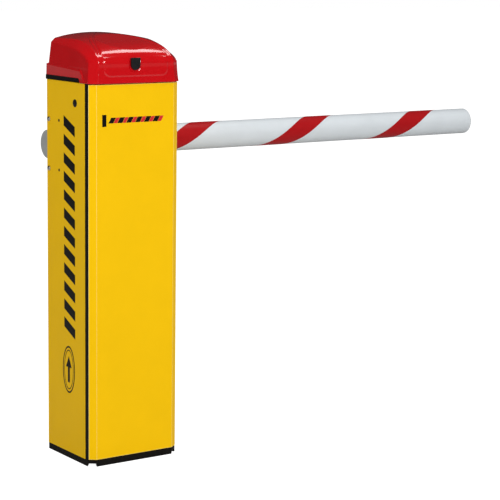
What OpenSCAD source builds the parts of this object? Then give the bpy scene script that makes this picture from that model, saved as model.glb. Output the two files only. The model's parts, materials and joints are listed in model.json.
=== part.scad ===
// Parking barrier gate: sheet-steel cabinet with a lift-off hood and a hinged
// front door, a worm gearmotor that drives the main shaft through a parallel
// crank linkage, a torsion balance spring, and a round boom on the rear face.
// Frame: X runs along the boom, +Y is the rear face, +Z is up.
// The origin is the centre of the anchor holes on the floor.

/* [Cabinet] */
// Outer width of the cabinet
cab_w = 266; // [256:1:276]
// Depth of each side sheet, from the rear face
side_d = 194; // [190:1:198]
// Width of the rubber joint between a side sheet and the door
joint_w = 13.5; // [12:0.5:15]
// Width of the folded corner of the door, along X
fold_w = 19; // [16:1:22]
// Depth of the folded corner of the door, along Y
fold_d = 14.5; // [13:0.5:16]
// Thickness of the cabinet sheet
sheet_t = 2.5; // [2:0.5:3]
// Height of the base frame
base_h = 17; // [15:1:19]
// Height of the top edge of the side sheets
top_z = 983; // [980:1:1000]

/* [Hood] */
// How far the hood's rim stands out past the cabinet
rim_out = 3; // [3:0.5:6]
// Highest point of the hood
hood_top = 1105; // [1098:1:1110]
// Wall thickness of the hood
hood_t = 3; // [2.5:0.5:4]

/* [Boom] */
// Outer diameter of the boom tube
boom_d = 76; // [70:1:78]
// Wall thickness of the boom tube
boom_t = 2; // [1.5:0.5:3]
// Left end of the boom, with its cap
boom_x0 = -92; // [-100:1:-88]
// Right end of the boom, with its cap
boom_x1 = 1367; // [1200:10:3000]
// Distance of the boom's centreline behind the cabinet's centre
boom_y = 186; // [186:1:196]
// Height of the main shaft and of the boom's centreline
shaft_z = 805; // [800:1:810]

/* [Drive] */
// Diameter of the main shaft
shaft_d = 35; // [32:1:36]
// Height of the gearbox output shaft
crank_z = 600; // [596:1:604]
// Distance from a shaft to its linkage pin
arm_r = 70; // [66:1:72]
// Teeth on the worm wheel
wheel_teeth = 30; // [30]
// Gear module
gear_m = 3; // [3]

/* [Hidden] */
$fn = 64;
eps = 0.05;

yellow = [0.98, 0.78, 0.03];
red = [0.78, 0.08, 0.10];
black = [0.06, 0.06, 0.06];
steel = [0.62, 0.64, 0.66];
zinc = [0.72, 0.72, 0.68];
alu = [0.75, 0.76, 0.78];
white = [0.9, 0.92, 0.93];

hw = cab_w / 2;                       // half width
cab_depth = side_d + joint_w + fold_d;
yr = cab_depth / 2;                   // rear face
yf = -cab_depth / 2;                  // front face of the door
ys = yr - side_d;                     // front edge of the side sheets
yc = yf + fold_d;                     // rear edge of the door's folded corner
hinge_x = hw - 4.5;                   // door hinge axis
hinge_y = yc + 2.5;
hinge_r = 2.4;
door_z0 = base_h + 1.5;
door_z1 = top_z - 2;
bolt_y = yr - 11;                     // side fasteners of the drive chassis
screw_y = yr - 63;
bolt_zs = [753, 881];
plug_y = -35; plug_z = 931;
sr = shaft_d / 2;
br = boom_d / 2;
arm_a = 135;                          // rest angle of both linkage arms
link_len = shaft_z - crank_z;
worm_pr = 12;
wheel_pr = gear_m * wheel_teeth / 2;
worm_x = wheel_pr + worm_pr;
gear_y = -42;
lead = PI * gear_m;
lock_z = 1030;
lock_x = -5.4;
ry = yr - sheet_t - 0.1;                // back of the mounting rail

// ---------- helpers ----------
module box(x0, x1, y0, y1, z0, z1) translate([x0, y0, z0]) cube([x1 - x0, y1 - y0, z1 - z0]);
module cyl_y(r, y0, y1, x = 0, z = 0) translate([x, y0, z]) rotate([-90, 0, 0]) cylinder(r = r, h = y1 - y0);
module cyl_x(r, x0, x1, y = 0, z = 0) translate([x0, y, z]) rotate([0, 90, 0]) cylinder(r = r, h = x1 - x0);
module cyl_z(r, z0, z1, x = 0, y = 0) translate([x, y, z0]) cylinder(r = r, h = z1 - z0);
module hex_y(af, y0, y1, x = 0, z = 0) translate([x, y0, z]) rotate([-90, 0, 0]) cylinder(r = af / 2 / cos(30), h = y1 - y0, $fn = 6);
module hex_x(af, x0, x1, y = 0, z = 0) translate([x0, y, z]) rotate([0, 90, 0]) cylinder(r = af / 2 / cos(30), h = x1 - x0, $fn = 6);
module hex_z(af, z0, z1, x = 0, y = 0) translate([x, y, z0]) cylinder(r = af / 2 / cos(30), h = z1 - z0, $fn = 6);
// a profile drawn as (x, z), pushed from y0 to y1
module prism_y(pts, y0, y1) translate([0, y1, 0]) rotate([90, 0, 0]) linear_extrude(y1 - y0) polygon(pts);
// a profile drawn as (y, z), pushed from x0 to x1
module prism_x(pts, x0, x1) translate([x0, 0, 0]) rotate([90, 0, 90]) linear_extrude(x1 - x0) polygon(pts);
module around_pairs(xs, zs) for (x = xs, z = zs) translate([x, 0, z]) children();
function arc(cx, cy, r, a0, a1, n) = [for (i = [0:n]) let (a = a0 + (a1 - a0) * i / n) [cx + r * cos(a), cy + r * sin(a)]];
function oval(cx, cy, rx, ry, a0, a1, n) = [for (i = [0:n]) let (a = a0 + (a1 - a0) * i / n) [cx + rx * cos(a), cy + ry * sin(a)]];
function unit(v) = v / norm(v);
// tube along a list of points
function normals(t, n, i = 0) = i == len(t) ? [] : let (m = unit(n - (n * t[i]) * t[i])) concat([m], normals(t, m, i + 1));
module tube_path(p, r, sides) {
  last = len(p) - 1;
  t = [for (i = [0:last]) unit(p[min(i + 1, last)] - p[max(i - 1, 0)])];
  s = abs(t[0][2]) < 0.9 ? [0, 0, 1] : [1, 0, 0];
  n = normals(t, s);
  pts = [for (i = [0:last]) let (b = cross(t[i], n[i])) for (k = [0:sides - 1]) p[i] + r * (cos(360 * k / sides) * n[i] + sin(360 * k / sides) * b)];
  walls = [for (i = [0:last - 1], k = [0:sides - 1]) let (a = i * sides + k, b = i * sides + (k + 1) % sides) [a, a + sides, b + sides, b]];
  polyhedron(pts, concat([[for (k = [0:sides - 1]) k]], walls, [[for (k = [sides - 1:-1:0]) last * sides + k]]));
}
// the cabinet's outline, grown by g
function outline(g) = [[-hw - g, yr + g], [-hw - g, yc - g * 0.4], [-hw + fold_w - g * 0.4, yf - g], [hw - fold_w + g * 0.4, yf - g], [hw + g, yc - g * 0.4], [hw + g, yr + g]];

// ---------- enclosure ----------
module base_notch(s) translate([s * (hw - fold_w / 2), (yf + yc) / 2, 0]) rotate([0, 0, s * atan(fold_d / fold_w)])
  prism_y([[-12, -1], [-9, 8], [9, 8], [12, -1]], -20, 30);
module base_frame() color(black) difference() {
  linear_extrude(base_h) polygon(outline(-0.6));
  box(-88, 88, -66, 66, -1, base_h + 1);
  for (x = [-108, 108], y = [-85, 85]) cyl_z(7, -1, base_h + 1, x, y);
  base_notch(1); base_notch(-1);
  cyl_z(hinge_r, 11, base_h + 1, hinge_x, hinge_y);
}
module side_holes(x0, x1) {
  for (z = bolt_zs) { cyl_x(4.1, x0, x1, bolt_y, z); cyl_x(3.1, x0, x1, screw_y, z); }
}
module cabinet_shell() color(yellow) difference() {
  union() {
    box(-hw, hw, yr - sheet_t, yr, base_h, top_z);
    for (s = [0, 1]) mirror([s, 0, 0]) {
      box(-hw, -hw + sheet_t, ys, yr, base_h, top_z);
      box(-hw + sheet_t, -hw + 20, ys, ys + sheet_t, base_h, top_z);
    }
    difference() { box(-hw, hw, ys, yr, base_h, base_h + sheet_t); box(-34, 96, -70, 70, base_h - 1, base_h + 4); }
    difference() { box(-hw, hw, ys, yr, top_z - sheet_t, top_z); box(-hw + 20, hw - 20, ys + 20, yr - 20, top_z - 4, top_z + 1); }
    box(hw - 16, hw - 1, yc + 0.2, ys + 18, door_z1 + 0.5, door_z1 + 3);
  }
  for (x = [-108, 108], y = [-85, 85]) cyl_z(9, base_h - 1, base_h + 4, x, y);
  cyl_y(22, yr - 4, yr + 1, 0, shaft_z);
  side_holes(-hw - 1, -hw + sheet_t + 1);
  side_holes(hw - sheet_t - 1, hw + 1);
  cyl_x(9.4, -hw - 1, -hw + sheet_t + 1, plug_y, plug_z);
  cyl_z(hinge_r, door_z1, door_z1 + 4, hinge_x, hinge_y);
}
module door_gasket() color(black) difference() {
  union() {
    box(-hw + 1.2, -hw + 14, yc + 0.4, ys - eps, base_h + 0.4, top_z - 0.4);
    box(-hw + 1.2, -hw + 14, yc - 1.4, yc + 1, door_z0 + 3, door_z1 - 3);
    box(hw - 14, hw - 1.2, yc + 8, ys - eps, base_h + 6, top_z - 6);
    box(-hw + 1.2, hw - 1.2, yc + 8, ys - eps, base_h + 6, base_h + 18);
    box(-hw + 1.2, hw - 1.2, yc + 8, ys - eps, top_z - 18, top_z - 6);
  }
}
module hinge_pins() color(zinc) {
  cyl_z(hinge_r - 0.02, 11.1, door_z0 + 6, hinge_x, hinge_y);
  cyl_z(hinge_r - 0.02, door_z1 - 6, door_z1 + 3, hinge_x, hinge_y);
}
module hole_plug() color(black) translate([-hw, plug_y, plug_z]) rotate([0, -90, 0]) rotate_extrude()
  polygon(concat([[0, -6], [8.6, -6], [9.3, -3.2], [9.3, 0.02], [10.2, 0.02]], [for (i = [1:6]) [10.2 * cos(15 * i), 2 * sin(15 * i)]]));
module chassis_bolts() color(steel) for (s = [-1, 1], z = bolt_zs) {
  translate([s * hw, bolt_y, z]) rotate([0, s * 90, 0]) difference() {
    rotate_extrude() polygon([[0, 4.6], [3.2, 4.4], [5.2, 3.1], [6.2, 1.2], [6.2, 0.02], [4, 0.02], [4, -14], [0, -14]]);
    translate([0, 0, 2.6]) cylinder(r = 2.3, h = 4, $fn = 6);
  }
  translate([s * (hw - sheet_t - 4 - 0.1), bolt_y, z]) rotate([0, -s * 90, 0]) difference() { cylinder(r = 7.5, h = 6.4, $fn = 6); translate([0, 0, -1]) cylinder(r = 4.05, h = 9); }
}
module chassis_screws() color([0.25, 0.22, 0.15]) for (s = [-1, 1], z = bolt_zs)
  translate([s * hw, screw_y, z]) rotate([0, s * 90, 0]) rotate_extrude() polygon([[0, 1.1], [2.6, 0.8], [3.9, 0.02], [3, 0.02], [3, -7.4], [4.2, -7.4], [4.2, -8.6], [0, -8.6]]);

// ---------- drive chassis and bearings ----------
module drive_chassis() color(zinc) difference() {
  union() {
    box(-hw + sheet_t + 3.8, hw - sheet_t - 3.8, 80, 86, 735, 900);
    box(-hw + sheet_t + 3.8, hw - sheet_t - 3.8, -10, -4, 735, 900);
    box(-90, 112, -10, -4, 545, 736);
    for (s = [0, 1]) mirror([s, 0, 0]) box(-hw + sheet_t + eps, -hw + sheet_t + 4, -10, 107, 735, 900);
  }
  cyl_y(44.3, -11, 87, 0, shaft_z);
  cyl_y(20, -11, -3, 0, crank_z);
  side_holes(-hw, -hw + 10); side_holes(hw - 10, hw);
  for (x = [-42, 42], z = [shaft_z - 42, shaft_z + 42]) cyl_y(4.2, -11, 87, x, z);
  for (z = [-1, 1]) cyl_y(4.1, -11, -3, -20, shaft_z + z * 54.4);
  for (x = [-46, 70], z = [552, 648]) cyl_y(3.1, -11, -3, x, z);
}
module bearing_housing() difference() {
  union() { translate([-52, 0, -52]) cube([104, 8, 104]); cyl_y(44, -7.9, 14); }
  cyl_y(36.04, -7, 10.1); cyl_y(30, -8, 15);
  for (x = [-42, 42], z = [-42, 42]) cyl_y(4.2, -1, 9, x, z);
}
module bearing_housings() color([0.30, 0.34, 0.38]) {
  translate([0, 86.02, shaft_z]) bearing_housing();
  translate([0, -10.02, shaft_z]) mirror([0, 1, 0]) bearing_housing();
}
module ball_bearing() difference() { cyl_y(36, 0, 17); cyl_y(sr + 0.02, -1, 18); for (y = [-1, 16]) difference() { cyl_y(31.5, y, y + 2); cyl_y(23, y - 1, y + 3); } }
module shaft_bearings() color(alu) {
  translate([0, 79.1, shaft_z]) ball_bearing();
  translate([0, -20.05, shaft_z]) ball_bearing();
}
module bearing_bolts() color(steel) for (x = [-42, 42], z = [shaft_z - 42, shaft_z + 42]) {
  cyl_y(4, 76, 94.1, x, z); hex_y(13, 94.1, 99.4, x, z); hex_y(13, 73.5, 79.9, x, z);
  cyl_y(4, -18.1, 0, x, z); hex_y(13, -23.4, -18.1, x, z); hex_y(13, -3.9, 2.5, x, z);
}
module stop_buffers() color(black) for (s = [-1, 1]) translate([-20, 0, shaft_z + s * 54.4]) {
  cyl_y(10, -3.95, 24); cyl_y(4, -9.95, -3.95);
}
module rod_guide() color(zinc) difference() {
  union() { box(worm_x - 12, worm_x + 12, gear_y - 14, -10.05, 884, 889); box(worm_x - 12, worm_x + 12, -15, -10.05, 862, 889); }
  cyl_z(5.05, 880, 892, worm_x, gear_y);
}

// ---------- gearbox ----------
gx0 = -58; gx1 = 82; gz0 = crank_z - 58; gz1 = crank_z + 58;
module rounded_box_y(x0, x1, z0, z1, r, y0, y1) translate([0, y1, 0]) rotate([90, 0, 0]) linear_extrude(y1 - y0)
  polygon(concat(arc(x1 - r, z1 - r, r, 0, 90, 6), arc(x0 + r, z1 - r, r, 90, 180, 6), arc(x0 + r, z0 + r, r, 180, 270, 6), arc(x1 - r, z0 + r, r, 270, 360, 6)));
module gearbox_housing() color(alu) difference() {
  union() {
    rounded_box_y(gx0, gx1, gz0, gz1, 14, -62, -10.05);
    cyl_y(19.5, -10.1, -3, 0, crank_z);
    cyl_z(18, gz1 - 1, gz1 + 8, worm_x, gear_y);
    for (x = [-30, -15, 0, 15, 30]) box(x - 1.5, x + 1.5, -58, -14, gz1 - 1, gz1 + 5);
  }
  rounded_box_y(gx0 + 6, gx1 - 6, gz0 + 6, gz1 - 6, 10, -63, -16);
  cyl_y(12.55, -17, -2, 0, crank_z);
  cyl_z(8.05, gz0 - 1, gz1 + 9, worm_x, gear_y);
  for (x = [-46, 70], z = [552, 648]) cyl_y(3, -16, -9, x, z);
}
module gearbox_cover() color(alu) difference() {
  union() {
    rounded_box_y(gx0, gx1, gz0, gz1, 14, -68, -62.05);
    cyl_y(24, -76, -67, 0, crank_z);
    for (a = [0:45:315]) translate([0, 0, crank_z]) rotate([0, a, 0]) box(22, 44, -72, -67, -1.5, 1.5);
  }
  cyl_y(12.55, -72, -60, 0, crank_z);
  for (x = [gx0 + 9, gx1 - 9], z = [gz0 + 9, gz1 - 9]) cyl_y(2.6, -69, -61, x, z);
}
module gearbox_screws() color(steel) {
  for (x = [gx0 + 9, gx1 - 9], z = [gz0 + 9, gz1 - 9]) { cyl_y(2.5, -68, -62.1, x, z); difference() { cyl_y(4.4, -72.5, -68.05, x, z); hex_y(4, -73, -70, x, z); } }
  for (x = [-46, 70], z = [552, 648]) { cyl_y(2.95, -15.9, -3.9, x, z); hex_y(10, -3.9, 0.5, x, z); }
}
module output_shaft() color(steel) difference() {
  union() { cyl_y(12.5, -71.5, 38, 0, crank_z); cyl_y(16, -31.9, -17, 0, crank_z); }
  cyl_y(2.5, 28, 39, 0, crank_z);
}
function tooth(i) = let (s = 360 / wheel_teeth, a = i * s) [for (q = [[-2.35, -0.30], [-0.95, 0.95], [0.95, 0.95], [2.35, -0.30]])
  let (r = q[1] > 0 ? wheel_pr + 0.9 * gear_m : wheel_pr - 1.25 * gear_m, h = q[0]) [r * cos(a + h / r * 57.29578), r * sin(a + h / r * 57.29578)]];
module worm_wheel() color([0.72, 0.55, 0.25]) difference() {
  translate([0, gear_y, crank_z]) rotate([-90, 0, 0]) rotate([0, 0, 180]) linear_extrude(18, center = true, twist = -(lead / (2 * PI * worm_pr) * 18 / wheel_pr * 57.29578), slices = 3)
    polygon([for (i = [0:wheel_teeth - 1]) each tooth(i)]);
  cyl_y(12.52, -60, -20, 0, crank_z);
  for (a = [0:60:300]) translate([0, 0, crank_z]) rotate([0, a, 0]) cyl_y(6, -60, -20, 27, 0);
}
// thread profile: f is the fraction of one lead from the middle of a land
function thread_r(f) = let (z = abs(f - floor(f) - 0.5) * lead) z < 2.2 ? worm_pr - 1.25 * gear_m : z > 3.55 ? worm_pr + 0.9 * gear_m : worm_pr - 1.25 * gear_m + (z - 2.2) / 1.35 * 2.15 * gear_m;
module worm_thread(n, rings, h) {
  pts = [for (i = [0:rings], k = [0:n - 1]) let (z = h * (i / rings - 0.5), r = thread_r(z / lead - k / n)) [r * cos(360 * k / n), r * sin(360 * k / n), z]];
  walls = [for (i = [0:rings - 1], k = [0:n - 1]) let (a = i * n + k, b = i * n + (k + 1) % n) each [[a, a + n, b + n], [a, b + n, b]]];
  polyhedron(pts, concat([[for (k = [0:n - 1]) k]], walls, [[for (k = [n - 1:-1:0]) rings * n + k]]));
}
module worm_shaft() color(steel) translate([worm_x, gear_y, 0]) {
  translate([0, 0, crank_z]) worm_thread(20, 34, 38);
  cylinder_between(8, 505, crank_z - 18.9);
  cylinder_between(8, crank_z + 18.9, gz1 + 22);
}
module cylinder_between(r, z0, z1) translate([0, 0, z0]) cylinder(r = r, h = z1 - z0);

// ---------- motor ----------
module motor_can() color([0.12, 0.13, 0.14]) translate([worm_x, gear_y, 0]) difference() {
  union() { cylinder_between(40, 368, 528); cylinder_between(46, 528, gz0 - 0.1); for (a = [0:30:330]) rotate([0, 0, a]) box(39, 42, -1.2, 1.2, 392, 520); }
  cylinder_between(36, 367, 522); cylinder_between(8.3, 500, 560);
}
module motor_end_cap() color([0.2, 0.2, 0.21]) translate([worm_x, gear_y, 0]) difference() {
  union() { cylinder_between(40, 352, 367.9); cylinder_between(35.8, 367.8, 373); }
  cylinder_between(5.05, 358, 374);
}
module motor_rotor() color([0.45, 0.3, 0.2]) translate([worm_x, gear_y, 0]) {
  cylinder_between(5, 359, 386); cylinder_between(14, 386, 402); 
  difference() { cylinder_between(31, 402, 505); for (a = [0:30:330]) rotate([0, 0, a]) box(25, 33, -2, 2, 401, 506); }
}
module release_rod() color(steel) translate([worm_x, gear_y, 0]) difference() {
  union() { cylinder_between(11, gz1 + 10, gz1 + 34); cylinder_between(5, gz1 + 30, 944); }
  cylinder_between(8.03, gz1 + 9, gz1 + 22.1);
}
module release_knob() color(red) translate([worm_x, gear_y, 0]) difference() {
  cylinder_between(24, 938, 962);
  cylinder_between(5.03, 937, 944.1);
  for (a = [0:45:315]) rotate([0, 0, a]) translate([27, 0, 936]) cylinder(r = 6, h = 28);
}

// ---------- linkage ----------
module arm(az, y0, y1, bore) translate([0, 0, az]) difference() {
  union() {
    cyl_y(30, y0, y1);
    rotate([0, -arm_a, 0]) { box(0, arm_r, y0, y0 + 12, -14, 14); cyl_y(16, y0, y0 + 12, arm_r, 0); }
  }
  cyl_y(bore + 0.02, y0 - 1, y1 + 1);
  rotate([0, -arm_a, 0]) cyl_y(6.02, y0 - 1, y0 + 13, arm_r, 0);
}
module joint_pin(az) translate([arm_r * cos(arm_a), 0, az + arm_r * sin(arm_a)]) {
  hex_y(18, 3, 9.95); cyl_y(6, 9.9, 48); cyl_y(9, 22.05, 25);
  difference() { hex_y(18, 41, 50); cyl_y(6.03, 40, 51); }
}
module lever_arm() color([0.3, 0.31, 0.33]) difference() {
  union() { arm(shaft_z, 10, 36, sr); translate([0, 0, shaft_z]) rotate([0, 45, 0]) { box(28, 44, 10, 36, -9, 9); } translate([0, 0, shaft_z]) rotate([0, 45, 0]) cyl_y(4, 35, 52, 38, 0); }
  cyl_y(sr + 0.02, 9, 53, 0, shaft_z);
}
module crank_arm() color([0.3, 0.31, 0.33]) arm(crank_z, 10, 36, 12.5);
module lever_pin() color(steel) joint_pin(shaft_z);
module crank_pin() color(steel) joint_pin(crank_z);
module link_at() translate([arm_r * cos(arm_a), 33, crank_z + arm_r * sin(arm_a)]) children();
module rod_ends() color(steel) link_at() for (s = [0, 1]) translate([0, 0, s * link_len]) mirror([0, 0, s]) difference() {
  union() { cyl_y(16, -7, 7); cylinder_between(6, 12, 52); }
  cyl_y(6.05, -9, 9);
}
module link_tube() color(zinc) link_at() difference() { hex_z(22, 45, link_len - 45); cylinder_between(6.03, 40, 55); cylinder_between(6.03, link_len - 55, link_len - 40); }
module link_locknuts() color(steel) link_at() for (s = [0, 1]) translate([0, 0, s * link_len]) mirror([0, 0, s]) difference() { hex_z(19, 36, 44.9); cylinder_between(6.03, 35, 46); }

spring_r = 28; spring_w = 3; spring_turns = 4.5;
module balance_spring() color([0.2, 0.22, 0.25]) translate([0, 0, shaft_z]) tube_path(concat(
  [[50, 79.9, 28], [50, 77, 28], [48, 74.4, 28], [42, 73.8, 28], [32, 73.5, 28], [20, 73.3, 28], [10, 73.1, 28]],
  [for (i = [0:spring_turns * 24]) let (a = 90 + i * 15) [spring_r * cos(a), 73 - i * 15 / 360 * 6.7, spring_r * sin(a)]],
  [[10, 42.6, -28.3], [18, 42.4, -31], [25, 42.2, -36], [31, 42, -42], [35, 42, -47]]), spring_w, 10);

// ---------- main shaft and boom ----------
module main_shaft() color(steel) difference() {
  union() { cyl_y(sr, -30, 139, 0, shaft_z); cyl_y(22, 97, 108, 0, shaft_z); }
  box(-5, 5, 113.9, 139.1, shaft_z + sr - 5, shaft_z + sr + 1);
}
module shaft_key() color(steel) box(-4.95, 4.95, 114.2, 138.8, shaft_z + sr - 4.9, shaft_z + sr + 3.2);
module shaft_seal() color(black) difference() { union() { cyl_y(24, 111.6, 113.8, 0, shaft_z); } cyl_y(sr + 0.05, 110, 115, 0, shaft_z); }
module limit_cam() color([0.85, 0.85, 0.8]) difference() {
  union() { cyl_y(24, -29.5, -24.4, 0, shaft_z); translate([0, 0, shaft_z]) for (a = [-60, 30]) rotate([0, -a, 0]) prism_y([[0, -8], [27, -6], [27, 6], [0, 8]], -29.5, -24.4); }
  cyl_y(sr + 0.02, -31, -23, 0, shaft_z);
}
module limit_switches() color([0.1, 0.1, 0.1]) for (s = [-1, 1]) {
  translate([s * 48, 0, shaft_z]) { box(-6, 6, -33, -24.05, -14, 2); box(-s * 17 - 1, -s * 17 + 1, -31, -25, -8, 4); box(min(-s * 18, 0), max(-s * 18, 0), -29, -27, -6, -4); }
}
module boom_bracket() color([0.35, 0.36, 0.38]) difference() {
  union() {
    cyl_y(34, 114, 141, 0, shaft_z);
    box(-85, 85, 140, 147, shaft_z - 58, shaft_z + 58);
    for (s = [-1, 1]) prism_y([[s * 20, shaft_z - 5], [s * 20, shaft_z + 5], [s * 34, shaft_z + 3], [s * 34, shaft_z - 3]], 120, 141);
    for (s = [-1, 1]) box(-85, 85, 120, 141, shaft_z + s * 55.5 - 2.5, shaft_z + s * 55.5 + 2.5);
  }
  cyl_y(sr + 0.02, 113, 139.5, 0, shaft_z);
  box(-5, 5, 113, 139.5, shaft_z + sr - 3, shaft_z + sr + 3.3);
  for (x = [-60, 60], s = [-1, 1]) cyl_y(4.3, 139, 148, x, shaft_z + s * 43);
}
module boom_saddles() color(black) for (x = [-60, 60]) difference() {
  box(x - 14, x + 14, 147.05, 172, shaft_z - 37, shaft_z + 37);
  cyl_x(br + eps, x - 15, x + 15, boom_y, shaft_z);
}
module u_bolts() color(zinc) for (x = [-60, 60]) translate([x, boom_y, shaft_z]) {
  rotate([0, 90, 0]) rotate([0, 0, 0]) rotate_extrude(angle = 180, start = 0) translate([br + 5, 0]) circle(r = 4, $fn = 32);
  for (s = [-1, 1]) {
    translate([0, 0, s * (br + 5)]) rotate([90, 0, 0]) cylinder(r = 4, h = boom_y - 128);
    translate([0, 140 - boom_y - 6.6, s * (br + 5)]) rotate([-90, 0, 0]) difference() { cylinder(r = 7.5, h = 6.5, $fn = 6); translate([0, 0, -1]) cylinder(r = 4.03, h = 9); }
  }
}
module boom_tube() color(white) difference() { cyl_x(br, boom_x0 + 2, boom_x1 - 2, boom_y, shaft_z); cyl_x(br - boom_t, boom_x0, boom_x1, boom_y, shaft_z); }
module boom_end_caps() color([0.8, 0.82, 0.83]) for (e = [[boom_x0, 1], [boom_x1, -1]]) translate([e[0], boom_y, shaft_z]) rotate([0, e[1] * 90, 0])
  rotate_extrude() polygon([[0, 0], [br - 1.4, 0], [br - 0.4, 0.5], [br, 1.4], [br, 1.95], [br - boom_t - eps, 1.95], [br - boom_t - 0.4, 26], [br - boom_t - 3, 26], [br - boom_t - 3, 4.5], [0, 4.5]]);

// ---------- electrics ----------
module control_box() color([0.55, 0.57, 0.6]) difference() {
  union() { box(-108, 42, -80, -44, 700, 880); for (x = [-97, 31], z = [712, 868]) cyl_y(5, -44.1, -10.05, x, z); }
  box(-105, 39, -81, -47, 703, 877);
  for (x = [-60, -20, 20]) cyl_z(8.05, 699, 704, x, -62);
}
module control_lid() color([0.82, 0.83, 0.84]) difference() {
  box(-108, 42, -85, -80.05, 700, 880);
  cyl_y(6.1, -86, -79, -80, 730);
  box(-90, 0, -86, -83.6, 800, 850);
}
module control_button() color([0.1, 0.55, 0.2]) { cyl_y(6, -89, -79.9, -80, 730); cyl_y(7.5, -79.9, -77.5, -80, 730); }
module battery() color([0.13, 0.13, 0.15]) {
  box(-108, -43, -60, 91, base_h + 9.05, 118);
  for (x = [-98, -53]) box(x - 3, x + 3, -54, -46, 118.02, 125);
}
module battery_strap() color(zinc) {
  box(-112, -39, -64, 95, base_h + 3.05, base_h + 9);
  difference() { box(-111, -40, 5, 25, base_h + 5, 121); box(-108.05, -42.95, 4, 26, base_h + 5 - 1, 118.05); }
}
module charger() color([0.7, 0.71, 0.72]) difference() {
  box(-110, -14, 58, yr - sheet_t - 0.1, 180, 330);
  for (z = [200:10:310]) box(-100, -24, 57, 59, z, z + 4);
}
module din_rail() color(zinc) prism_x([[ry, 429], [ry, 452], [ry - 6.3, 452], [ry - 6.3, 458], [ry - 7.5, 458], [ry - 7.5, 450.5], [ry - 1.2, 450.5],
  [ry - 1.2, 430.5], [ry - 7.5, 430.5], [ry - 7.5, 423], [ry - 6.3, 423], [ry - 6.3, 429]], -110, 96);
dy = ry - 7.55;
module circuit_breaker() color([0.86, 0.87, 0.88]) difference() {
  union() { box(-92, -56, dy - 44, dy, 400, 482); box(-92, -56, dy - 60, dy - 43, 418, 464); for (x = [-30, -22, -14, -6, 2, 10, 18]) box(x - 3.6, x + 3.6, dy - 38, dy, 415, 466); }
  box(-84, -64, dy - 61, dy - 48, 430, 452);
}
module breaker_toggle() color([0.08, 0.1, 0.4]) { cyl_x(6, -83, -65, dy - 55, 441); translate([0, dy - 55, 441]) rotate([-35, 0, 0]) box(-83, -65, -17, -4, -2.5, 2.5); }
module cable_glands() color(black) for (x = [-60, -20, 20]) difference() {
  union() { cyl_z(8, 688, 707, x, -62); hex_z(20, 693.5, 699.95, x, -62); hex_z(18, 703.05, 707.5, x, -62); cyl_z(7, 684, 689, x, -62); }
  cyl_z(3.5, 683, 710, x, -62);
}

// ---------- hood ----------
hg = rim_out;
hb = top_z + 0.4;                     // lower edge of the hood
ledge_z = 1022;
lip_z = 1018.5;
// the hood's outline, grown by s at the sides and by f at the front
function hood_plan(s, f, rear) = [[-hw - s, rear], [-hw - s, yc - 1], [-hw + fold_w - f * 0.3, yf - f], [hw - fold_w + f * 0.3, yf - f], [hw + s, yc - 1], [hw + s, rear]];
// roof: a crown across the width, and a long round falling to the front
function crown(x, d) = let (r = 390) sqrt(r * r - x * x) - r + hood_top - d;
function fall(y, d) = let (t = (yr - 6 - y) / (yr - 6 - yf + 3.5 - d)) 1032 - d + (hood_top - 1032) * pow(max(0, 1 - pow(t, 1.8)), 1 / 1.8);
module roof_x(d) prism_y(concat([[-127 + d, lip_z - 2], [-118.5 + d, crown(118.5, d)]], [for (i = [-9:9]) [i * 12.5, crown(i * 12.5, d)]], [[118.5 - d, crown(118.5, d)], [127 - d, lip_z - 2]], [[127 - d, top_z - 20], [-127 + d, top_z - 20]]), yf - 30, yr + 30);
module roof_y(d) prism_x(concat([[yr - 6 - d, top_z - 20], [yr - 6 - d, hood_top - d]], [for (i = [1:24]) let (y = yr - 6 - (yr - 6 - yf + 3.5 - d) * sin(i * 3.75)) [y, fall(y, d)]], [[yf - 3.5 + d, top_z - 20]]), -hw - 30, hw + 30);
module hood_solid(d, z0, z1) {
  translate([0, 0, z0]) linear_extrude(z1 - z0) polygon(hood_plan(hg - d, 3.5 - d, yr + hg - d));
  intersection() {
    translate([0, 0, z0]) linear_extrude(hood_top - z0) polygon(hood_plan(hg - d, 3.5 - d, yr));
    roof_x(d); roof_y(d);
  }
}
module hood() color(red) difference() {
  union() { hood_solid(0, hb, ledge_z); box(-96, 90, yf - 4.7, yf + 3, 1001.5, 1046); }
  hood_solid(hood_t, hb - 1, ledge_z - hood_t);
  for (s = [0, 1]) mirror([s, 0, 0]) prism_x(concat([[yr + 30, top_z - 10], [yr + 30, 995]], arc(-50, 985, 10, 90, 180, 6), [[-60, top_z - 10]]), -hw - 10, -hw + 2);
  box(-hw - 10, hw + 10, yr - 3, yr + 20, top_z - 5, 995);
  cyl_y(9.06, yf - 10, yf + 20, lock_x, lock_z);
  cyl_y(2.06, yf - 10, yf + 20, lock_x, 1044);
  cyl_y(10.4, yf - 0.2, yf + 20, lock_x, lock_z);
  cyl_y(3.4, yf + 0.2, yf + 20, lock_x, 1044);
}
module hood_vent_strips() color(black) {
  for (s = [0, 1]) mirror([s, 0, 0]) prism_x(concat([[yr - 3.2, hb], [yr - 3.2, 994.8]], arc(-50, 985, 9.8, 90, 175, 6)), -hw - hg + 0.8, -hw - hg + 2.8);
  box(-hw - hg + 0.8, hw + hg - 0.8, yr + hg - 3, yr + hg - 1, hb, 994.8);
}
module hood_striker() color(zinc) { box(-26, 26, ys + 0.5, ys + 19, top_z + 0.05, top_z + 2.5); difference() { box(-20, 28, ys + 0.5, ys + 3.5, top_z + 2.4, 1041); box(-12, 20, ys, ys + 4, 990, 1030); } box(11, 28, ys - 9, ys + 0.6, 1038, 1041); }
module lock_barrel() color([0.1, 0.1, 0.1]) translate([lock_x, 0, 0]) difference() {
  union() { cyl_y(9, yf - 4.4, ys - 8, 0, lock_z); cyl_y(10, yf - 0.2, yf + 4, 0, lock_z); }
  box(-1, 1, yf - 5, yf + 2, lock_z - 4, lock_z + 4);
}
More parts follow.
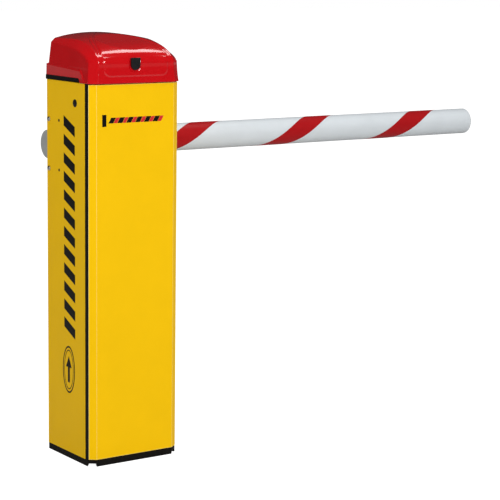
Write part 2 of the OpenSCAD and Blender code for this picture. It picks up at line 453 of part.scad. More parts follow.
module lock_cam() color(zinc) translate([lock_x, 0, 0]) { box(-7, 7, ys - 7.9, ys - 5, lock_z - 30, lock_z + 5); cyl_y(9, ys - 7.9, ys - 5, 0, lock_z); }
module lock_cover() color(black) translate([lock_x, 0, 0]) difference() {
  union() { cyl_y(2, yf - 7, yf + 3, 0, 1044); cyl_y(3, yf + 0.2, yf + 3, 0, 1044);
    prism_y(concat([[13, 1047], [-13, 1047], [-13, 1030]], arc(0, 1029.5, 13, 180, 360, 16), [[13, 1030]]), yf - 9.8, yf - 5); }
  prism_y(concat([[10.5, 1039], [-10.5, 1039]], arc(0, 1029.5, 10.5, 180, 360, 12)), yf - 7.8, yf - 4);
}

// ---------- door ----------
module door_outline(t) polygon([[-hw + 2.4, yc - 1.83], [-hw + fold_w, yf], [hw - fold_w, yf], [hw, yc], [hw - 1.6 * t, yc], [hw - fold_w - 0.3, yf + t], [-hw + fold_w + 0.3, yf + t], [-hw + 5.55, yc - 1.83]]);
module door_panel() color(yellow) difference() {
  union() {
    translate([0, 0, door_z0]) linear_extrude(door_z1 - door_z0) door_outline(2);
    for (z = [door_z0, door_z1 - 2.5]) translate([0, 0, z]) {
      linear_extrude(2.5) polygon([[-hw + 5, yc - 2.6], [-hw + fold_w, yf + 1], [hw - fold_w, yf + 1], [hw - 2, yc - 0.6], [hw - 2, yc], [-hw + 15, yc], [-hw + 15, yc - 1.9], [-hw + 5, yc - 1.9]]);
      intersection() { linear_extrude(2.5) polygon(outline(-0.2)); translate([hinge_x, hinge_y, 0]) cylinder(r = 5.5, h = 2.5); }
    }
  }
  cyl_z(hinge_r + 0.03, door_z0 - 1, door_z1 + 1, hinge_x, hinge_y);
}
module door_stiffener() color([0.85, 0.68, 0.05]) for (z = [200, 500, 800]) box(-hw + 30, hw - 30, yf + 2.05, yf + 12, z - 12, z + 12);

base_frame();
cabinet_shell();
door_gasket();
hinge_pins();
hole_plug();
chassis_bolts();
chassis_screws();
drive_chassis();
bearing_housings();
shaft_bearings();
bearing_bolts();
gearbox_housing();
gearbox_cover();
gearbox_screws();
motor_can();
motor_end_cap();
stop_buffers();
rod_guide();
control_box();
control_lid();
battery();
battery_strap();
charger();
din_rail();
circuit_breaker();
limit_switches();
cable_glands();
balance_spring();
hood_striker();
main_shaft();
lever_arm();
lever_pin();
boom_bracket();
boom_saddles();
u_bolts();
boom_tube();
boom_end_caps();
shaft_key();
shaft_seal();
limit_cam();
output_shaft();
worm_wheel();
crank_arm();
crank_pin();
rod_ends();
link_tube();
link_locknuts();
worm_shaft();
motor_rotor();
release_rod();
release_knob();
hood();
hood_vent_strips();
lock_barrel();
lock_cam();
lock_cover();
door_panel();
door_stiffener();
breaker_toggle();
control_button();
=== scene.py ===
import json
import math

import bmesh
import bpy
import numpy as np
from mathutils import Matrix, Vector


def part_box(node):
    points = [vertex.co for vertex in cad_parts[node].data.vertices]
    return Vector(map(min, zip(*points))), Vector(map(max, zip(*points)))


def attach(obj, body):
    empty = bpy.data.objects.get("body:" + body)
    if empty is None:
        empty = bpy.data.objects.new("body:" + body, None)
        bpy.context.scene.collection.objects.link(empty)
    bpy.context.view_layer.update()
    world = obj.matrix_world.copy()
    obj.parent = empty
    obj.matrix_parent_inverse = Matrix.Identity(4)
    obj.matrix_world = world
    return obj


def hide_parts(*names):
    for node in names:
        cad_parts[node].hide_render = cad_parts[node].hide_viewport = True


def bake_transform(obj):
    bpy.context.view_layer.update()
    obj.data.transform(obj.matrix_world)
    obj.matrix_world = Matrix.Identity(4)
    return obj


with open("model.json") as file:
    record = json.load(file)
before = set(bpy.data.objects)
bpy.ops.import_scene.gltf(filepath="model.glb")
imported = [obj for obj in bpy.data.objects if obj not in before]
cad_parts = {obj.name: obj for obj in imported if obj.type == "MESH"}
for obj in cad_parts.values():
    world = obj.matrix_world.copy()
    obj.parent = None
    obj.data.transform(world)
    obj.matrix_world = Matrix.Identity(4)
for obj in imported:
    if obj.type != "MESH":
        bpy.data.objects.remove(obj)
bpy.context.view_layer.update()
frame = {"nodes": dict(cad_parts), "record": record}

scene = bpy.context.scene
scene.view_settings.view_transform = "Standard"
scene.view_settings.look = "None"
NODES = frame["nodes"]


# ---------------------------------------------------------------- materials
def srgb(r, g, b):
    def f(c):
        c = c / 255.0
        return c / 12.92 if c <= 0.04045 else ((c + 0.055) / 1.055) ** 2.4
    return (f(r), f(g), f(b))


def material(name, base, rough=0.4, metal=0.0, var=0.06, rvar=0.06, scale=40.0, fine=900.0, bump=0.15,
             depth=0.0002, stretch=(1, 1, 1), coat=0.0, coat_rough=0.1, wear=None, wear_amt=0.0, ior=1.5,
             spec=0.5, second=None, speckle=0.0, painted_shade_by_height=None, painted_fold_highlight=None):
    """A Principled surface: mottled base colour, uneven gloss, fine bump, optional wear on the edges, and an
    optional painted highlight along folds and painted shade towards the bottom.
    """
    m = bpy.data.materials.new(name)
    m.use_nodes = True
    nt = m.node_tree
    n, l = nt.nodes, nt.links
    bsdf = n["Principled BSDF"]
    bsdf.inputs["Metallic"].default_value = metal
    bsdf.inputs["IOR"].default_value = ior
    bsdf.inputs["Specular IOR Level"].default_value = spec
    bsdf.inputs["Coat Weight"].default_value = coat
    bsdf.inputs["Coat Roughness"].default_value = coat_rough
    tc = n.new("ShaderNodeTexCoord")
    mp = n.new("ShaderNodeMapping")
    mp.inputs["Scale"].default_value = stretch
    l.new(tc.outputs["Object"], mp.inputs["Vector"])
    big = n.new("ShaderNodeTexNoise")
    big.inputs["Scale"].default_value = scale
    big.inputs["Detail"].default_value = 5.0
    l.new(mp.outputs["Vector"], big.inputs["Vector"])
    small = n.new("ShaderNodeTexNoise")
    small.inputs["Scale"].default_value = fine
    small.inputs["Detail"].default_value = 3.0
    l.new(mp.outputs["Vector"], small.inputs["Vector"])
    dark = tuple(c * (1 - var) for c in base)
    light = second if second else tuple(min(1.0, c * (1 + var * 0.6)) for c in base)
    ramp = n.new("ShaderNodeValToRGB")
    ramp.color_ramp.elements[0].position = 0.3
    ramp.color_ramp.elements[0].color = (*dark, 1)
    ramp.color_ramp.elements[1].position = 0.7
    ramp.color_ramp.elements[1].color = (*light, 1)
    l.new(big.outputs["Fac"], ramp.inputs["Fac"])
    colour = ramp.outputs["Color"]
    if speckle:
        sp = n.new("ShaderNodeTexVoronoi")
        sp.inputs["Scale"].default_value = fine * 0.6
        l.new(mp.outputs["Vector"], sp.inputs["Vector"])
        sr = n.new("ShaderNodeMapRange")
        sr.inputs["From Min"].default_value = 0.0
        sr.inputs["From Max"].default_value = 0.35
        sr.inputs["To Min"].default_value = speckle
        sr.inputs["To Max"].default_value = 0.0
        l.new(sp.outputs["Distance"], sr.inputs["Value"])
        mx = n.new("ShaderNodeMix")
        mx.data_type = "RGBA"
        l.new(sr.outputs["Result"], mx.inputs["Factor"])
        l.new(colour, mx.inputs["A"])
        mx.inputs["B"].default_value = (*[min(1, c * 1.8 + 0.03) for c in base], 1)
        colour = mx.outputs["Result"]
    if painted_shade_by_height:
        # painted shade: the colour darkens towards the bottom by height, (z0, z1, factor at z0)
        sx = n.new("ShaderNodeSeparateXYZ")
        l.new(tc.outputs["Object"], sx.inputs["Vector"])
        gr = n.new("ShaderNodeMapRange")
        gr.inputs["From Min"].default_value = painted_shade_by_height[0]
        gr.inputs["From Max"].default_value = painted_shade_by_height[1]
        gr.inputs["To Min"].default_value = painted_shade_by_height[2]
        gr.inputs["To Max"].default_value = 0.0
        l.new(sx.outputs["Z"], gr.inputs["Value"])
        gm = n.new("ShaderNodeMix")
        gm.data_type = "RGBA"
        l.new(gr.outputs["Result"], gm.inputs["Factor"])
        l.new(colour, gm.inputs["A"])
        gm.inputs["B"].default_value = (*[c * 0.55 for c in base], 1)
        colour = gm.outputs["Result"]
    if wear:
        geo = n.new("ShaderNodeNewGeometry")
        wr = n.new("ShaderNodeValToRGB")
        wr.color_ramp.elements[0].position = 0.53
        wr.color_ramp.elements[0].color = (0, 0, 0, 1)
        wr.color_ramp.elements[1].position = 0.62
        wr.color_ramp.elements[1].color = (wear_amt,) * 3 + (1,)
        l.new(geo.outputs["Pointiness"], wr.inputs["Fac"])
        mul = n.new("ShaderNodeMath")
        mul.operation = "MULTIPLY"
        l.new(wr.outputs["Color"], mul.inputs[0])
        l.new(big.outputs["Fac"], mul.inputs[1])
        wm = n.new("ShaderNodeMix")
        wm.data_type = "RGBA"
        l.new(mul.outputs["Value"], wm.inputs["Factor"])
        l.new(colour, wm.inputs["A"])
        wm.inputs["B"].default_value = (*wear, 1)
        colour = wm.outputs["Result"]
    if painted_fold_highlight:
        # painted highlight: a lighter colour along folds and edges, found from how the rounded normal leaves the
        # flat one
        bv = n.new("ShaderNodeBevel")
        bv.samples = 6
        bv.inputs["Radius"].default_value = 0.0014
        g2 = n.new("ShaderNodeNewGeometry")
        dot = n.new("ShaderNodeVectorMath")
        dot.operation = "DOT_PRODUCT"
        l.new(bv.outputs["Normal"], dot.inputs[0])
        l.new(g2.outputs["Normal"], dot.inputs[1])
        fr = n.new("ShaderNodeMapRange")
        fr.inputs["From Min"].default_value = 0.999
        fr.inputs["From Max"].default_value = 0.975
        fr.inputs["To Min"].default_value = 0.0
        fr.inputs["To Max"].default_value = 0.85
        l.new(dot.outputs["Value"], fr.inputs["Value"])
        fx = n.new("ShaderNodeMix")
        fx.data_type = "RGBA"
        l.new(fr.outputs["Result"], fx.inputs["Factor"])
        l.new(colour, fx.inputs["A"])
        fx.inputs["B"].default_value = (*painted_fold_highlight, 1)
        colour = fx.outputs["Result"]
    l.new(colour, bsdf.inputs["Base Color"])
    rr = n.new("ShaderNodeMapRange")
    rr.inputs["To Min"].default_value = max(0.02, rough - rvar)
    rr.inputs["To Max"].default_value = min(1.0, rough + rvar)
    l.new(big.outputs["Fac"], rr.inputs["Value"])
    l.new(rr.outputs["Result"], bsdf.inputs["Roughness"])
    bp = n.new("ShaderNodeBump")
    bp.inputs["Strength"].default_value = bump
    bp.inputs["Distance"].default_value = depth
    l.new(small.outputs["Fac"], bp.inputs["Height"])
    l.new(bp.outputs["Normal"], bsdf.inputs["Normal"])
    return m


YELLOW = srgb(250, 198, 2)
RED = srgb(204, 6, 16)
M = {
    "cabinet_yellow": material("yellow_powder_coat", YELLOW, rough=0.42, var=0.02, rvar=0.05, scale=14, fine=650, bump=0.10, depth=0.00025, spec=0.12),
    # the door coat carries a painted highlight, a lighter colour along its folds
    "door_yellow": material("door_powder_coat_painted_fold_highlight", YELLOW, rough=0.42, var=0.02, rvar=0.05, scale=14, fine=650, bump=0.10, depth=0.00025, spec=0.12, painted_fold_highlight=srgb(255, 232, 150)),
    "base_black": material("base_black_paint", (0.007, 0.006, 0.005), spec=0.12, rough=0.5, var=0.3, rvar=0.12, scale=60, fine=500, bump=0.3, depth=0.0003),
    "seal_rubber": material("black_rubber", (0.006, 0.006, 0.006), spec=0.2, rough=0.62, var=0.25, rvar=0.1, scale=90, fine=1400, bump=0.35, depth=0.0002),
    "zinc_steel": material("zinc_plate", (0.60, 0.61, 0.60), rough=0.34, metal=1.0, var=0.18, rvar=0.12, scale=75, fine=1500, bump=0.15, depth=0.0001, second=(0.70, 0.69, 0.62), wear=(0.85, 0.85, 0.82), wear_amt=0.5),
    "black_plastic": material("black_plastic", (0.009, 0.009, 0.010), spec=0.3, rough=0.42, var=0.2, rvar=0.08, scale=120, fine=2200, bump=0.4, depth=0.0001),
    "arm_steel": material("dark_grey_paint", (0.045, 0.052, 0.06), rough=0.42, var=0.25, rvar=0.1, scale=50, fine=900, bump=0.25, depth=0.0002, wear=(0.35, 0.35, 0.35), wear_amt=0.7),
    "bright_steel": material("turned_steel", (0.62, 0.63, 0.65), rough=0.24, metal=1.0, var=0.12, rvar=0.1, scale=120, fine=1800, stretch=(1, 6, 6), bump=0.12, depth=0.00008, wear=(0.8, 0.8, 0.8), wear_amt=0.4),
    "gearbox_aluminium": material("die_cast_aluminium", (0.55, 0.56, 0.57), rough=0.46, metal=1.0, var=0.16, rvar=0.1, scale=90, fine=700, bump=0.45, depth=0.0003, wear=(0.8, 0.8, 0.8), wear_amt=0.6),
    "bronze": material("cut_bronze", (0.62, 0.38, 0.14), rough=0.3, metal=1.0, var=0.2, rvar=0.1, scale=110, fine=1500, bump=0.2, depth=0.0001),
    "rotor_steel": material("varnished_laminations", (0.30, 0.15, 0.07), rough=0.35, metal=0.6, var=0.3, rvar=0.1, scale=60, fine=900, stretch=(1, 1, 14), bump=0.5, depth=0.0002),
    "spring_steel": material("oiled_spring_steel", (0.06, 0.065, 0.075), rough=0.3, metal=0.9, var=0.3, rvar=0.12, scale=140, fine=1600, bump=0.2, depth=0.0001, wear=(0.4, 0.4, 0.42), wear_amt=0.5),
    "grey_plastic": material("grey_moulding", (0.52, 0.54, 0.55), rough=0.5, var=0.06, rvar=0.06, scale=70, fine=1900, bump=0.35, depth=0.0001),
    "charger_aluminium": material("anodised_aluminium", (0.45, 0.46, 0.48), rough=0.38, metal=1.0, var=0.12, rvar=0.08, scale=80, fine=1500, stretch=(8, 1, 1), bump=0.2, depth=0.0001),
    "boom_white": material("boom_white_coat", srgb(220, 226, 230), rough=0.3, var=0.03, rvar=0.05, scale=18, fine=700, bump=0.08, depth=0.0002, spec=0.3),
    "cap_grey": material("cap_grey_plastic", srgb(172, 175, 174), rough=0.45, var=0.08, rvar=0.06, scale=80, fine=1600, bump=0.35, depth=0.00012),
    "hood_red": material("hood_red_gloss", RED, rough=0.2, var=0.04, rvar=0.04, scale=22, fine=1500, bump=0.07, depth=0.00012, spec=0.3, coat=1.0, coat_rough=0.05, speckle=0.10),
    "dark_screw": material("browned_screw_steel", (0.07, 0.05, 0.03), rough=0.35, metal=0.8, var=0.25, rvar=0.1, scale=200, fine=2600, bump=0.2, depth=0.0001),
    "knob_red": material("knob_red_plastic", srgb(190, 24, 28), rough=0.32, var=0.08, rvar=0.06, scale=90, fine=1800, bump=0.2, depth=0.0001),
    "toggle_blue": material("toggle_blue_plastic", (0.02, 0.04, 0.16), rough=0.3, var=0.15, rvar=0.06, scale=150, fine=2000, bump=0.2, depth=0.0001),
    "button_green": material("button_green_plastic", (0.03, 0.30, 0.08), rough=0.28, var=0.12, rvar=0.06, scale=150, fine=2000, bump=0.2, depth=0.0001),
    "tape_red": material("reflective_red_tape", srgb(176, 14, 20), spec=0.2, rough=0.4, var=0.05, rvar=0.06, scale=60, fine=2600, bump=0.35, depth=0.0001),
    "print_black": material("black_print", srgb(16, 15, 13), spec=0.15, rough=0.4, var=0.15, rvar=0.06, scale=120, fine=1800, bump=0.12, depth=0.0001),
    "print_red": material("red_print", srgb(214, 34, 36), rough=0.4, var=0.08, rvar=0.06, scale=120, fine=1800, bump=0.12, depth=0.0001),
}

slots = {s["node"]: s["material_slot"] for s in frame["record"]["subparts"]}
SHARP = {"worm_shaft", "worm_wheel"}
for name, ob in NODES.items():
    ob.data.materials.clear()
    ob.data.materials.append(M[slots[name]])
    for p in ob.data.polygons:
        p.use_smooth = False
NODES["chassis_screws"].data.materials[0] = M["dark_screw"]
NODES["door_panel"].data.materials[0] = M["door_yellow"]
for name, ob in NODES.items():
    if name in SHARP:
        continue
    for p in ob.data.polygons:
        p.use_smooth = True
    ob.data.set_sharp_from_angle(angle=math.radians(38))


# ---------------------------------------------------------------- mesh helpers
def add_mesh(name, verts, faces, mat, body, smooth=True, sharp=38):
    me = bpy.data.meshes.new(name)
    me.from_pydata([tuple(v) for v in verts], [], [tuple(f) for f in faces])
    me.validate()
    bm = bmesh.new()
    bm.from_mesh(me)
    bmesh.ops.recalc_face_normals(bm, faces=bm.faces)
    bm.to_mesh(me)
    bm.free()
    ob = bpy.data.objects.new(name, me)
    scene.collection.objects.link(ob)
    me.materials.append(M[mat])
    for p in me.polygons:
        p.use_smooth = smooth
    if smooth:
        me.set_sharp_from_angle(angle=math.radians(sharp))
    if body:
        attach(ob, body)
    return ob


# ---------------------------------------------------------------- hood
def smax(a, b, k):
    h = np.clip(0.5 + 0.5 * (a - b) / k, 0, 1)
    return b + (a - b) * h + k * h * (1 - h)


def smin(a, b, k):
    return -smax(-a, -b, k)


def sstep(a, b, x):
    t = np.clip((x - a) / (b - a), 0, 1)
    return t * t * (3 - 2 * t)


HOOD_TOP, HOOD_R, HOOD_ZF, HOOD_YR, HOOD_N = 1103.3, 435.0, 1032.0, 107.0, 2.03
SIDE_X, SKIRT_X = 131.0, 133.9


def hood_profile(x, y, z):
    """crowned roof that falls to the front in one long curve, as a distance in mm"""
    ln = HOOD_YR + 114.5
    ht = HOOD_TOP + 1 - HOOD_ZF - np.minimum(x * x, 2e4) / (3.0 * HOOD_R)
    roof = np.sqrt(x * x + (z - (HOOD_TOP - HOOD_R)) ** 2) - HOOD_R
    u = np.clip(HOOD_YR - y, 0, None) / ln
    w = np.clip(z - HOOD_ZF, 0, None) / ht
    r = np.power(np.power(u, HOOD_N) + np.power(w, HOOD_N) + 1e-9, 1 / HOOD_N)
    g = np.sqrt((np.power(u / r, HOOD_N - 1) / ln) ** 2 + (np.power(w / r, HOOD_N - 1) / ht) ** 2)
    return smax(roof, (r - 1) / np.maximum(g, 1 / ln), 6)


def hood_f(x, y, z):
    flare = 3.0 * np.power(np.clip((1026 - z) / 42, 0, 1.2), 1.6)
    prof = hood_profile(x, y, z) - flare
    s = sstep(20, -92, y)
    xs = SIDE_X + flare - (0.13 - 0.075 * s) * np.clip(z - 1022, 0, None)
    off = 7.0 + 8.5 * sstep(106, -40, y)
    shoulder = (np.abs(x) - xs) * 0.607 + (prof + off) * 0.795
    f = smax(prof, np.abs(x) - xs, 1.5)
    f = smax(f, shoulder, 1.2)
    f = smax(f, y - HOOD_YR, 3)
    # skirt along the sides and the rear, which dies away towards the front corners
    zl = 1024 - 8 * (111 - y) / 167 - 34 * sstep(-58, -92, y)
    sk = smax(np.abs(x) - (SKIRT_X + flare * 0.4), z - zl, 3)
    sk = smax(sk, (np.abs(x) - SKIRT_X) * 0.607 + (-y - 97.5) * 0.795 - 0.5 - flare * 0.8, 2.0)
    sk = smax(sk, np.maximum(-y - 114.5 - flare, y - 112.8), 2)
    return smin(f, sk, 2.0)


def edge_dist(x, y, ys, xs):
    """distance outside a border given as half widths along y"""
    h = np.interp(y, ys, xs)
    sl = (np.interp(y + 4, ys, xs) - np.interp(y - 4, ys, xs)) / 8
    return (np.abs(x) - h) / np.sqrt(1 + sl * sl)


def rrect(x, z, x0, x1, z0, z1, r):
    """signed distance to a rounded rectangle"""
    dx = np.abs(x - (x0 + x1) / 2) - (x1 - x0) / 2 + r
    dz = np.abs(z - (z0 + z1) / 2) - (z1 - z0) / 2 + r
    return np.hypot(np.clip(dx, 0, None), np.clip(dz, 0, None)) + np.minimum(np.maximum(dx, dz), 0) - r


def hood_relief(x, y, z):
    """how far the surface stands proud of the plain form, in mm"""
    d = np.zeros_like(x)
    front = sstep(-104, -112, y)
    # raised front panel
    p = rrect(x, z, -94.5, 91.5, 1001.0, 1090.0, 16)
    d += 1.5 * (1 - sstep(-2.2, 1.0, p)) * front * (1 - sstep(1044, 1052, z))
    # pocket round the lock
    lp = rrect(x, z, -21.8, 11.0, 1011.0, 1051.0, 13)
    d -= 2.0 * (1 - sstep(-1.6, 0.8, lp)) * front
    # raised field of the roof, drawn in towards the rear, with a groove beside it
    up = sstep(1050, 1060, z)
    q = edge_dist(x, y, [-130, -114, -95, -72, -49, -15, 19, 36, 48, 57, 63, 66], [104, 100, 94, 86.5, 79, 64.5, 47, 37, 28.5, 20, 11, 0])
    d += up * 1.3 * (1 - sstep(-3.0, 0.0, q))
    d -= up * 1.5 * np.exp(-((q - 2.0) / 1.9) ** 2) * (1 - sstep(20, 60, y))
    # second line along the shoulder
    q2 = edge_dist(x, y, [-130, -112, -103, -74, -37, -5, 26, 60], [114, 110, 106, 97, 87, 74, 59, 40])
    d -= up * 1.6 * np.exp(-(q2 / 1.9) ** 2) * (1 - sstep(20, 50, y))
    # shallow oval flat in the middle of the roof
    e2 = ((x - 4) / 73) ** 2 + ((y + 34) / 57) ** 2
    d -= sstep(1046, 1050, z) * 3.6 * np.clip(1 - e2, 0, 1)
    return d


def hood_cast(o, d):
    lo = np.zeros(len(d))
    hi = np.full(len(d), 420.0)
    for _ in range(38):
        mid = (lo + hi) / 2
        p = o + d * mid[:, None]
        inside = hood_f(p[:, 0], p[:, 1], p[:, 2]) < 0
        lo = np.where(inside, mid, lo)
        hi = np.where(inside, hi, mid)
    return o + d * ((lo + hi) / 2)[:, None]


def hood_normal(p):
    e = 0.25
    g = np.stack([hood_f(p[:, 0] + e * (i == 0), p[:, 1] + e * (i == 1), p[:, 2] + e * (i == 2)) - hood_f(p[:, 0] - e * (i == 0), p[:, 1] - e * (i == 1), p[:, 2] - e * (i == 2)) for i in range(3)], 1)
    return g / (np.linalg.norm(g, axis=1, keepdims=True) + 1e-9)


def spread(a, b, n, dense=()):
    return [(a[0] + (b[0] - a[0]) * i / n, a[1] + (b[1] - a[1]) * i / n) for i in range(n)]


def build_hood():
    n = 190
    cm = (121.5, -105.5)
    k = 8
    front = spread((-cm[0], cm[1]), (-112, -114), k) + spread((-112, -114), (112, -114), n - 2 * k) + spread((112, -114), cm, k) + [cm]
    right = spread(cm, (131, -97), k) + spread((131, -97), (131, 104), n - k - 4) + spread((131, 104), (130, 107), 4) + [(130, 107)]
    rear = spread((130, 107), (-130, 107), n) + [(-130, 107)]
    left = [(-x, y) for x, y in reversed(right)]
    C = np.array
    bottom, top = C(front), C(rear)[::-1]
    lft, rgt = C(left)[::-1], C(right)
    s = np.linspace(0, 1, n + 1)
    S, T = np.meshgrid(s, s)          # S along x, T along y
    B = bottom[None, :, :] * (1 - T[..., None]) + top[None, :, :] * T[..., None]
    L = lft[:, None, :] * (1 - S[..., None]) + rgt[:, None, :] * S[..., None]
    c00, c10, c01, c11 = bottom[0], bottom[-1], top[0], top[-1]
    D = (c00 * ((1 - S) * (1 - T))[..., None] + c10 * (S * (1 - T))[..., None] + c01 * ((1 - S) * T)[..., None] + c11 * (S * T)[..., None])
    XY = B + L - D
    a, b = 2 * S - 1, 2 * T - 1
    zb = 1036.0
    q = np.dstack([XY[..., 0], XY[..., 1], zb + 85 * np.sqrt(np.clip((1 - a * a) * (1 - b * b), 0, None))]).reshape(-1, 3)
    o = np.array([0.0, -4.0, zb])
    d = q - o
    nn = np.linalg.norm(d, axis=1, keepdims=True)
    d = np.where(nn > 1e-6, d / np.maximum(nn, 1e-6), np.array([0, 0, 1.0]))
    P = hood_cast(np.repeat(o[None], len(d), 0), d)
    P = P + hood_normal(P) * hood_relief(P[:, 0], P[:, 1], P[:, 2])[:, None]
    idx = np.arange((n + 1) ** 2).reshape(n + 1, n + 1)
    faces = [(idx[j, i], idx[j, i + 1], idx[j + 1, i + 1], idx[j + 1, i]) for j in range(n) for i in range(n)]
    ring = list(idx[0, :-1]) + list(idx[:-1, -1]) + list(idx[-1, :0:-1]) + list(idx[:0:-1, 0])
    per = P[ring]
    # walls, row by row down to the lower edge
    rows = 44
    base = len(P)
    verts = [P]
    yy = q[ring][:, 1]
    xx = q[ring][:, 0]
    # lower edge: raised along the sides behind y=-50 with a rounded end, and along the rear
    side = np.abs(xx) > 128.5
    zlow = np.full(len(ring), 983.6)
    t = np.clip((yy + 60) / 10, 0, 1)
    lift = np.where(yy > -50, 995.0, 985.0 + np.sqrt(np.clip(1 - (1 - t) ** 2, 0, 1)) * 10.0)
    zlow = np.where(side & (yy > -60), np.maximum(lift, 983.6), zlow)
    zlow = np.where(yy > 106.5, 995.0, zlow)
    for r in range(1, rows + 1):
        z = zb + (zlow - zb) * r / rows
        oo = np.stack([np.zeros_like(z), np.full_like(z, -4.0), z], 1)
        dd = np.stack([xx, yy + 4.0, np.zeros_like(z)], 1)
        dd /= np.linalg.norm(dd, axis=1, keepdims=True)
        pr = hood_cast(oo, dd)
        nr = hood_normal(pr)
        rel = hood_relief(pr[:, 0], pr[:, 1], pr[:, 2])
        nr[:, 2] = 0
        pr = pr + nr * rel[:, None]
        verts.append(pr)
    m = len(ring)
    allv = np.vstack(verts) / 1000.0
    prev = ring
    for r in range(rows):
        cur = [base + r * m + i for i in range(m)]
        for i in range(m):
            j = (i + 1) % m
            faces.append((prev[i], prev[j], cur[j], cur[i]))
        prev = cur
    ob = add_mesh("hood_shell", allv, faces, "hood_red", "hood", sharp=60)
    so = ob.modifiers.new("wall", "SOLIDIFY")
    so.thickness = 0.0024
    so.offset = -1.0
    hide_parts("hood")
    return ob


hood_ob = build_hood()


# ---------------------------------------------------------------- boom tape
def build_tape():
    # one red band wound round the tube, 395 mm to the turn and 95 mm wide along the tube
    pitch, width = 395.0, 95.0
    r0, r1 = 38.06, 38.30
    cy, cz = 186.0, 805.0
    x_lo, x_hi = 118.0, 1361.0
    th0, th1 = -720.0, 760.0
    steps = int((th1 - th0) / 3)
    cols = 10
    verts, faces = [], []
    grid = []
    for i in range(steps + 1):
        th = th0 + (th1 - th0) * i / steps
        xl = 657.0 + pitch * th / 360.0
        row = []
        a, b = max(x_lo, min(x_hi, xl)), max(x_lo, min(x_hi, xl + width))
        if b - a < 0.5:
            grid.append(None)
            continue
        for rad in (r1, r0):
            rr = []
            for c in range(cols + 1):
                x = a + (b - a) * c / cols
                t = math.radians(th)
                rr.append(len(verts))
                verts.append((x / 1000, (cy - rad * math.cos(t)) / 1000, (cz + rad * math.sin(t)) / 1000))
            row.append(rr)
        grid.append(row)
    live = [g for g in grid if g]
    for g, h in zip(live, live[1:]):
        for c in range(cols):
            faces.append((g[0][c], g[0][c + 1], h[0][c + 1], h[0][c]))
            faces.append((g[1][c], h[1][c], h[1][c + 1], g[1][c + 1]))
        faces.append((g[0][0], h[0][0], h[1][0], g[1][0]))
        faces.append((g[0][-1], g[1][-1], h[1][-1], h[0][-1]))
    for g in (live[0], live[-1]):
        for c in range(cols):
            faces.append((g[0][c], g[0][c + 1], g[1][c + 1], g[1][c]))
    ob = add_mesh("boom_tape", verts, faces, "tape_red", "boom", sharp=60)
    return ob


tape_ob = build_tape()


# ---------------------------------------------------------------- printed marks
def plate(name, polys, place, mat, body, t=0.00018, lift=0.00004):
    """flat printed shapes: each polygon is a list of (a, b) in mm, place maps (a, b, out) to metres"""
    verts, faces = [], []
    for poly in polys:
        k = len(verts)
        n = len(poly)
        for o in (lift, lift + t):
            for a, b in poly:
                verts.append(place(a, b, o))
        faces.append(tuple(range(k, k + n)))
        faces.append(tuple(range(k + 2 * n - 1, k + n - 1, -1)))
        for i in range(n):
            j = (i + 1) % n
            faces.append((k + i, k + j, k + n + j, k + n + i))
    return add_mesh(name, verts, faces, mat, body, smooth=False)


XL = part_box("cabinet_shell")[0][0]
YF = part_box("door_panel")[0][1]


def on_left(a, b, o):
    return (XL - o, a / 1000, b / 1000)


def on_door(a, b, o):
    return (a / 1000, YF - o, b / 1000)


def ring_poly(cy, cz, inner, outer, n=48):
    """an oval ring as quads, from (half width, half height) inside and outside"""
    out = []
    for i in range(n):
        a0, a1 = 2 * math.pi * i / n, 2 * math.pi * (i + 1) / n
        out.append([(cy + r[0] * math.cos(a), cz + r[1] * math.sin(a)) for r, a in ((inner, a0), (outer, a0), (outer, a1), (inner, a1))])
    return out


# a column of slanted bars up the side, a ring with an upright arrow below it
bars = []
z = 322.0
while z < 860:
    bars.append([(-34, z), (23, z + 26), (23, z + 52), (-34, z + 26)])
    z += 47.5
plate("side_bars", bars, on_left, "print_black", "cabinet")
plate("side_emblem", ring_poly(0, 237, (28, 58), (31.5, 62.5)) + ring_poly(0, 237, (22, 50), (24, 52.5))
      + [[(-5, 203), (5, 203), (5, 244), (-5, 244)], [(-15, 243), (15, 243), (0, 272)]], on_left, "print_black", "cabinet")
# a plain barrier pictogram on the door
marks = [[(-98, 876), (-86, 876), (-86, 906), (-98, 906)]]
x = -80.0
while x < 70:
    marks.append([(x, 884), (x + 14, 884), (x + 22, 898), (x + 8, 898)])
    x += 26
plate("door_mark", marks, on_door, "print_black", "door")
reds = []
x = -66.0
while x < 70:
    reds.append([(x + 0.8, 884), (x + 11.2, 884), (x + 19.2, 898), (x + 8.8, 898)])
    x += 26
plate("door_mark_red", reds, on_door, "print_red", "door")


# ---------------------------------------------------------------- balance spring
def build_spring():
    wire, R, turns = 3.0, 28.0, 4.5
    path = [(50, 79.9, 28), (50, 77, 28), (48, 74.4, 28), (42, 73.8, 28), (32, 73.5, 28), (20, 73.3, 28), (10, 73.1, 28)]
    steps = 40
    for i in range(int(turns * steps) + 1):
        a = math.radians(90 + i * 360 / steps)
        path.append((R * math.cos(a), 73 - i / steps * 6.7, R * math.sin(a)))
    path += [(10, 42.6, -28.3), (18, 42.4, -31), (25, 42.2, -36), (31, 42, -42), (35, 42, -47)]
    pts = [Vector((p[0] / 1000, p[1] / 1000, 0.805 + p[2] / 1000)) for p in path]
    sides = 14
    verts, faces = [], []
    nrm = Vector((0, 0, 1))
    for i, p in enumerate(pts):
        t = (pts[min(i + 1, len(pts) - 1)] - pts[max(i - 1, 0)]).normalized()
        nrm = (nrm - t * nrm.dot(t)).normalized()
        bn = t.cross(nrm)
        for k in range(sides):
            a = 2 * math.pi * k / sides
            verts.append(p + (nrm * math.cos(a) + bn * math.sin(a)) * wire / 1000)
    for i in range(len(pts) - 1):
        for k in range(sides):
            a, b = i * sides + k, i * sides + (k + 1) % sides
            faces.append((a, b, b + sides, a + sides))
    faces.append(tuple(range(sides)))
    faces.append(tuple(range((len(pts) - 1) * sides, len(pts) * sides)))
    ob = add_mesh("balance_spring_wire", verts, faces, "spring_steel", None, sharp=60)
    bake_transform(ob)
    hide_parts("balance_spring")
    return ob


spring_ob = build_spring()

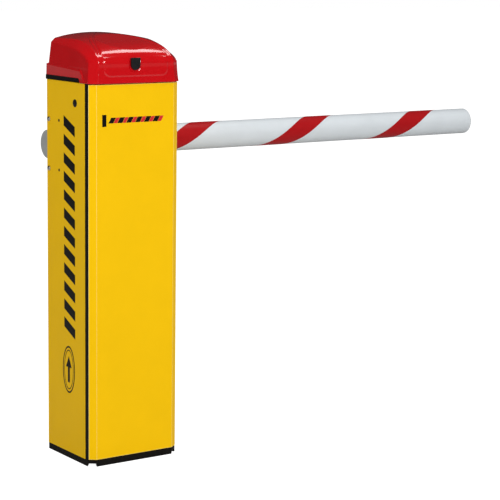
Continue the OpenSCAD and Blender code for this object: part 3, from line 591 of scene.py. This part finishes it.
# ---------------------------------------------------------------- floor, light, camera
def by_ray(nt, camera, glossy, other):
    """a strength that differs for what the camera sees directly, what shows in gloss, and what lights the scene"""
    n, l = nt.nodes, nt.links
    lp = n.new("ShaderNodeLightPath")
    a = n.new("ShaderNodeMix")
    a.inputs["A"].default_value = other
    a.inputs["B"].default_value = glossy
    l.new(lp.outputs["Is Glossy Ray"], a.inputs["Factor"])
    b = n.new("ShaderNodeMix")
    l.new(a.outputs["Result"], b.inputs["A"])
    b.inputs["B"].default_value = camera
    l.new(lp.outputs["Is Camera Ray"], b.inputs["Factor"])
    return b.outputs["Result"]


bpy.ops.mesh.primitive_plane_add(size=60, location=(0, 0, -0.0005))
floor = bpy.context.object
floor.name = "studio_floor"
fm = bpy.data.materials.new("floor_white")
fm.use_nodes = True
fb = fm.node_tree.nodes["Principled BSDF"]
fb.inputs["Base Color"].default_value = (0.5, 0.5, 0.5, 1)
fb.inputs["Roughness"].default_value = 1.0
fb.inputs["Specular IOR Level"].default_value = 0.0
fb.inputs["Emission Color"].default_value = (1, 1, 1, 1)
fm.node_tree.links.new(by_ray(fm.node_tree, 0.95, 0.0, 0.0), fb.inputs["Emission Strength"])
floor.data.materials.append(fm)

world = bpy.data.worlds.new("studio")
scene.world = world
world.use_nodes = True
bg = world.node_tree.nodes["Background"]
bg.inputs["Color"].default_value = (1, 1, 1, 1)
world.node_tree.links.new(by_ray(world.node_tree, 1.0, 0.03, 0.44), bg.inputs["Strength"])


def area(name, loc, target, size, power, size_y=None):
    li = bpy.data.lights.new(name, "AREA")
    li.energy = power
    li.size = size
    if size_y:
        li.shape = "RECTANGLE"
        li.size_y = size_y
    ob = bpy.data.objects.new(name, li)
    scene.collection.objects.link(ob)
    ob.location = loc
    ob.rotation_euler = (Vector(target) - Vector(loc)).to_track_quat("-Z", "Y").to_euler()
    return ob


area("key", (-0.6, -4.6, 2.0), (0.15, 0, 0.8), 1.8, 131, 1.8)
# the key lights the object, and a window above it is what the gloss shows
bpy.data.objects["key"].visible_glossy = False
area("key_window", (-0.6, -4.1, 3.1), (0.15, 0, 1.0), 1.8, 110, 1.3)
bpy.data.objects["key_window"].visible_diffuse = False
area("shoulder_box", (0.80, 0.12, 3.05), (0.0, -0.1, 1.06), 0.7, 15, 1.45)
area("left_fill", (-2.7, 0.1, 1.9), (-0.13, 0.05, 0.85), 0.9, 18, 0.9)
# a broad fill: it lights the left side and is no lamp to be seen in the gloss
bpy.data.objects["left_fill"].visible_glossy = False

cam_d = bpy.data.cameras.new("photo_camera")
cam = bpy.data.objects.new("photo_camera", cam_d)
scene.collection.objects.link(cam)
yaw, tilt, roll, fpx = 0.611869, 0.164852, 0.013542, 1791.875
fwd = Vector((math.sin(yaw) * math.cos(tilt), math.cos(yaw) * math.cos(tilt), -math.sin(tilt)))
right = fwd.cross(Vector((0, 0, 1))).normalized()
up = right.cross(fwd)
r = right * math.cos(roll) + up * math.sin(roll)
u = up * math.cos(roll) - right * math.sin(roll)
cam.matrix_world = Matrix(((r.x, u.x, -fwd.x, -2.35815), (r.y, u.y, -fwd.y, -3.98224), (r.z, u.z, -fwd.z, 1.31283), (0, 0, 0, 1)))
cam_d.sensor_width = 36
cam_d.lens = fpx * 36 / 500
cam_d.clip_end = 200
scene.camera = cam
